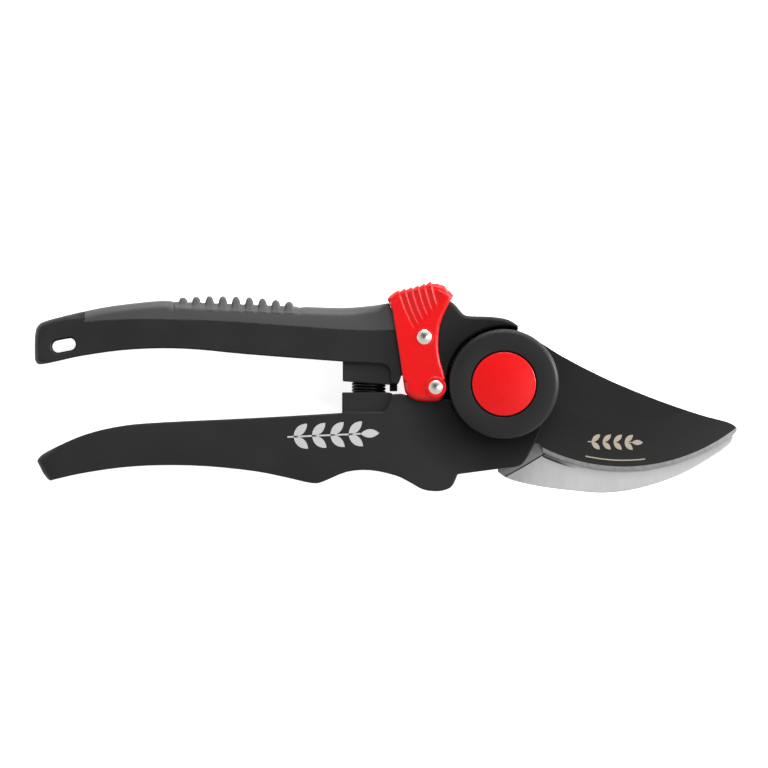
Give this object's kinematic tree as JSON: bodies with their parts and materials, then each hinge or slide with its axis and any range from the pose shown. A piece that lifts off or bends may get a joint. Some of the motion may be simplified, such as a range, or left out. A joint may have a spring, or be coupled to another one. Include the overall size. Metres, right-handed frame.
{
  "type": "bypass pruning shears",
  "caption": "Bypass hand pruner with a curved cutting blade over a hook, black handles with a soft grip, a return spring and a red locking lever.",
  "frame": {"origin": "on the pivot axis, at the flat rear face of the rear cap and boss, which the shears lie on", "axes": "+X towards the blade tip, +Y towards the upper handle with the grip, +Z from the rear boss to the front cap along the pivot"},
  "size_m": [0.211, 0.0634, 0.0228],
  "materials": {
    "black_nylon": "satin, fine grain",
    "grey_soft": "matt soft touch",
    "coated_steel": "black non-stick coat with a bare ground bevel",
    "bare_steel": "brushed",
    "red_plastic": "semi-gloss",
    "zinc_steel": "zinc plated",
    "spring_steel": "black coated wire",
    "bronze": "sintered",
    "nickel": "nickel plated, polished",
    "black_rubber": "matt"
  },
  "bodies": {
    "blade_side": {"lower_handle": "black_nylon", "cutting_blade": "coated_steel", "front_boss_cover": "black_nylon", "front_cap": "red_plastic", "pivot_bolt": "zinc_steel", "pivot_nut": "zinc_steel", "spring_washer": "zinc_steel", "rear_washer": "zinc_steel", "front_washer": "zinc_steel", "return_spring": "spring_steel"},
    "hook_side": {"upper_handle": "black_nylon", "soft_grip": "grey_soft", "hook_blade": "bare_steel", "pivot_bush": "bronze", "lever_bush": "bronze", "rear_boss_cover": "black_nylon", "rear_cap": "red_plastic", "stop_bumper": "black_rubber"},
    "lever": {"lock_lever": "red_plastic", "lever_rivet": "nickel", "lock_pin": "nickel"}
  },
  "joints": [
    {"name": "handles_open", "type": "hinge", "parent": "blade_side", "child": "hook_side", "pos_m": [0, 0, 0.011], "axis": [0, 0, -1], "range_deg": [0, 30], "deforming": ["return_spring"]},
    {"name": "lock_swing", "type": "hinge", "parent": "hook_side", "child": "lever", "pos_m": [-0.0239, 0.0141, 0.011], "axis": [0, 0, -1], "range_deg": [0, 20]}
  ]
}
